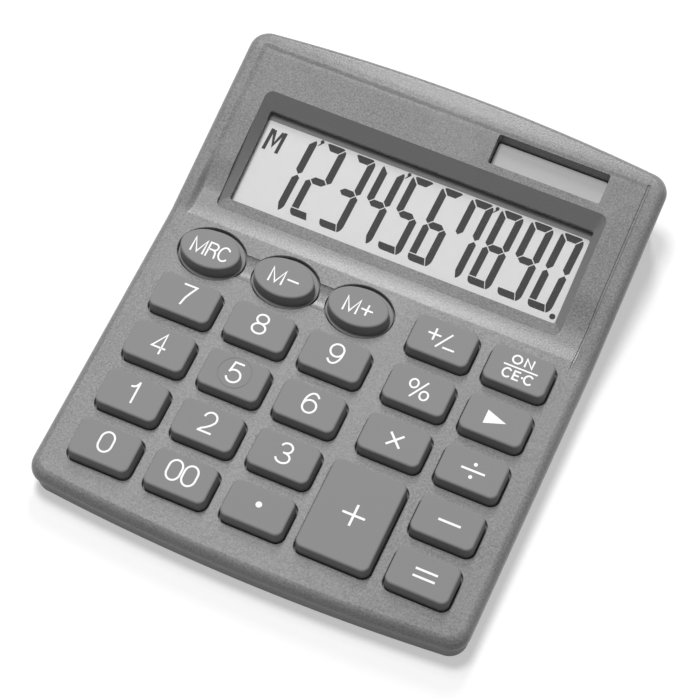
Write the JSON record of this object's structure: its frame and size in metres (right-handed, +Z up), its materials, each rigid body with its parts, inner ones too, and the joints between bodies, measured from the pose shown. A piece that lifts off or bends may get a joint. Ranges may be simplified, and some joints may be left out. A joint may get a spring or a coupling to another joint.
{
  "type": "desktop calculator",
  "caption": "Desktop calculator with a raised sloping display end, a bevelled display window, a small solar panel and sprung keys on a flat face.",
  "frame": {"origin": "centre of the footprint on the desk, at the bottom of the rubber feet", "axes": "+Z up from the desk, +Y towards the raised display end, +X to the user's right"},
  "size_m": [0.105, 0.1273, 0.021],
  "materials": {
    "grey_paint": "fine matt grey paint on plastic",
    "dark_shell": "plain dark grey plastic",
    "key_plastic": "smooth satin grey plastic",
    "clear_plastic": "clear polished plastic window",
    "display_glass": "light grey display glass",
    "solar_film": "grey light cell behind its window",
    "silicone": "soft milky silicone",
    "board_resin": "brown board resin",
    "black_epoxy": "black potting resin",
    "plated_steel": "plated steel",
    "capacitor_sleeve": "dark printed sleeve",
    "ribbon_film": "pale flexible film",
    "black_rubber": "black rubber",
    "red_sleeve": "red wire sleeve",
    "black_sleeve": "black wire sleeve"
  },
  "bodies": {
    "casing": {"top_housing": "grey_paint", "bottom_housing": "dark_shell", "display_lens": "clear_plastic", "solar_lens": "clear_plastic", "display_glass": "display_glass", "solar_cell": "solar_film", "key_sheet": "silicone", "circuit_board": "board_resin", "chip": "black_epoxy", "capacitor": "capacitor_sleeve", "display_ribbon": "ribbon_film", "battery": "plated_steel", "battery_contact_negative": "plated_steel", "battery_contact_positive": "plated_steel", "solar_lead_red": "red_sleeve", "solar_lead_black": "black_sleeve", "battery_lead_red": "red_sleeve", "battery_lead_black": "black_sleeve", "foot_front_left": "black_rubber", "case_screw_front_left": "plated_steel", "foot_front_right": "black_rubber", "case_screw_front_right": "plated_steel", "foot_rear_left": "black_rubber", "case_screw_rear_left": "plated_steel", "foot_rear_right": "black_rubber", "case_screw_rear_right": "plated_steel", "board_screw_1": "plated_steel", "board_screw_2": "plated_steel", "board_screw_3": "plated_steel", "board_screw_4": "plated_steel"},
    "key_7": {"key_7": "key_plastic"},
    "key_8": {"key_8": "key_plastic"},
    "key_9": {"key_9": "key_plastic"},
    "key_percent": {"key_percent": "key_plastic"},
    "key_backspace": {"key_backspace": "key_plastic"},
    "key_4": {"key_4": "key_plastic"},
    "key_5": {"key_5": "key_plastic"},
    "key_6": {"key_6": "key_plastic"},
    "key_times": {"key_times": "key_plastic"},
    "key_divide": {"key_divide": "key_plastic"},
    "key_1": {"key_1": "key_plastic"},
    "key_2": {"key_2": "key_plastic"},
    "key_3": {"key_3": "key_plastic"},
    "key_minus": {"key_minus": "key_plastic"},
    "key_0": {"key_0": "key_plastic"},
    "key_00": {"key_00": "key_plastic"},
    "key_point": {"key_point": "key_plastic"},
    "key_equals": {"key_equals": "key_plastic"},
    "key_sign": {"key_sign": "key_plastic"},
    "key_on_clear": {"key_on_clear": "key_plastic"},
    "key_plus": {"key_plus": "key_plastic"},
    "key_memory_recall": {"key_memory_recall": "key_plastic"},
    "key_memory_minus": {"key_memory_minus": "key_plastic"},
    "key_memory_plus": {"key_memory_plus": "key_plastic"},
    "battery_cover": {"battery_cover": "dark_shell"}
  },
  "joints": [
    {"name": "key_7_press", "type": "slide", "parent": "casing", "child": "key_7", "axis": [0, 0.0175, -0.9998], "range_m": [0, 0.0011], "stiffness_N_per_m": 500, "springref_m": -0.0005, "deforming": ["key_sheet"]},
    {"name": "key_8_press", "type": "slide", "parent": "casing", "child": "key_8", "axis": [0, 0.0175, -0.9998], "range_m": [0, 0.0011], "stiffness_N_per_m": 500, "springref_m": -0.0005, "deforming": ["key_sheet"]},
    {"name": "key_9_press", "type": "slide", "parent": "casing", "child": "key_9", "axis": [0, 0.0175, -0.9998], "range_m": [0, 0.0011], "stiffness_N_per_m": 500, "springref_m": -0.0005, "deforming": ["key_sheet"]},
    {"name": "key_percent_press", "type": "slide", "parent": "casing", "child": "key_percent", "axis": [0, 0.0175, -0.9998], "range_m": [0, 0.0011], "stiffness_N_per_m": 500, "springref_m": -0.0005, "deforming": ["key_sheet"]},
    {"name": "key_backspace_press", "type": "slide", "parent": "casing", "child": "key_backspace", "axis": [0, 0.0175, -0.9998], "range_m": [0, 0.0011], "stiffness_N_per_m": 500, "springref_m": -0.0005, "deforming": ["key_sheet"]},
    {"name": "key_4_press", "type": "slide", "parent": "casing", "child": "key_4", "axis": [0, 0.0175, -0.9998], "range_m": [0, 0.0011], "stiffness_N_per_m": 500, "springref_m": -0.0005, "deforming": ["key_sheet"]},
    {"name": "key_5_press", "type": "slide", "parent": "casing", "child": "key_5", "axis": [0, 0.0175, -0.9998], "range_m": [0, 0.0011], "stiffness_N_per_m": 500, "springref_m": -0.0005, "deforming": ["key_sheet"]},
    {"name": "key_6_press", "type": "slide", "parent": "casing", "child": "key_6", "axis": [0, 0.0175, -0.9998], "range_m": [0, 0.0011], "stiffness_N_per_m": 500, "springref_m": -0.0005, "deforming": ["key_sheet"]},
    {"name": "key_times_press", "type": "slide", "parent": "casing", "child": "key_times", "axis": [0, 0.0175, -0.9998], "range_m": [0, 0.0011], "stiffness_N_per_m": 500, "springref_m": -0.0005, "deforming": ["key_sheet"]},
    {"name": "key_divide_press", "type": "slide", "parent": "casing", "child": "key_divide", "axis": [0, 0.0175, -0.9998], "range_m": [0, 0.0011], "stiffness_N_per_m": 500, "springref_m": -0.0005, "deforming": ["key_sheet"]},
    {"name": "key_1_press", "type": "slide", "parent": "casing", "child": "key_1", "axis": [0, 0.0175, -0.9998], "range_m": [0, 0.0011], "stiffness_N_per_m": 500, "springref_m": -0.0005, "deforming": ["key_sheet"]},
    {"name": "key_2_press", "type": "slide", "parent": "casing", "child": "key_2", "axis": [0, 0.0175, -0.9998], "range_m": [0, 0.0011], "stiffness_N_per_m": 500, "springref_m": -0.0005, "deforming": ["key_sheet"]},
    {"name": "key_3_press", "type": "slide", "parent": "casing", "child": "key_3", "axis": [0, 0.0175, -0.9998], "range_m": [0, 0.0011], "stiffness_N_per_m": 500, "springref_m": -0.0005, "deforming": ["key_sheet"]},
    {"name": "key_minus_press", "type": "slide", "parent": "casing", "child": "key_minus", "axis": [0, 0.0175, -0.9998], "range_m": [0, 0.0011], "stiffness_N_per_m": 500, "springref_m": -0.0005, "deforming": ["key_sheet"]},
    {"name": "key_0_press", "type": "slide", "parent": "casing", "child": "key_0", "axis": [0, 0.0175, -0.9998], "range_m": [0, 0.0011], "stiffness_N_per_m": 500, "springref_m": -0.0005, "deforming": ["key_sheet"]},
    {"name": "key_00_press", "type": "slide", "parent": "casing", "child": "key_00", "axis": [0, 0.0175, -0.9998], "range_m": [0, 0.0011], "stiffness_N_per_m": 500, "springref_m": -0.0005, "deforming": ["key_sheet"]},
    {"name": "key_point_press", "type": "slide", "parent": "casing", "child": "key_point", "axis": [0, 0.0175, -0.9998], "range_m": [0, 0.0011], "stiffness_N_per_m": 500, "springref_m": -0.0005, "deforming": ["key_sheet"]},
    {"name": "key_equals_press", "type": "slide", "parent": "casing", "child": "key_equals", "axis": [0, 0.0175, -0.9998], "range_m": [0, 0.0011], "stiffness_N_per_m": 500, "springref_m": -0.0005, "deforming": ["key_sheet"]},
    {"name": "key_sign_press", "type": "slide", "parent": "casing", "child": "key_sign", "axis": [0, 0.0175, -0.9998], "range_m": [0, 0.0011], "stiffness_N_per_m": 500, "springref_m": -0.0005, "deforming": ["key_sheet"]},
    {"name": "key_on_clear_press", "type": "slide", "parent": "casing", "child": "key_on_clear", "axis": [0, 0.0175, -0.9998], "range_m": [0, 0.0011], "stiffness_N_per_m": 500, "springref_m": -0.0005, "deforming": ["key_sheet"]},
    {"name": "key_plus_press", "type": "slide", "parent": "casing", "child": "key_plus", "axis": [0, 0.0175, -0.9998], "range_m": [0, 0.0011], "stiffness_N_per_m": 500, "springref_m": -0.0005, "deforming": ["key_sheet"]},
    {"name": "key_memory_recall_press", "type": "slide", "parent": "casing", "child": "key_memory_recall", "axis": [0, 0.0175, -0.9998], "range_m": [0, 0.0011], "stiffness_N_per_m": 500, "springref_m": -0.0005, "deforming": ["key_sheet"]},
    {"name": "key_memory_minus_press", "type": "slide", "parent": "casing", "child": "key_memory_minus", "axis": [0, 0.0175, -0.9998], "range_m": [0, 0.0011], "stiffness_N_per_m": 500, "springref_m": -0.0005, "deforming": ["key_sheet"]},
    {"name": "key_memory_plus_press", "type": "slide", "parent": "casing", "child": "key_memory_plus", "axis": [0, 0.0175, -0.9998], "range_m": [0, 0.0011], "stiffness_N_per_m": 500, "springref_m": -0.0005, "deforming": ["key_sheet"]},
    {"name": "battery_cover_hinge", "type": "hinge", "parent": "casing", "child": "battery_cover", "pos_m": [-0.018, 0.0415, 0.0006], "axis": [-1, 0, 0], "range_deg": [0, 70]}
  ]
}
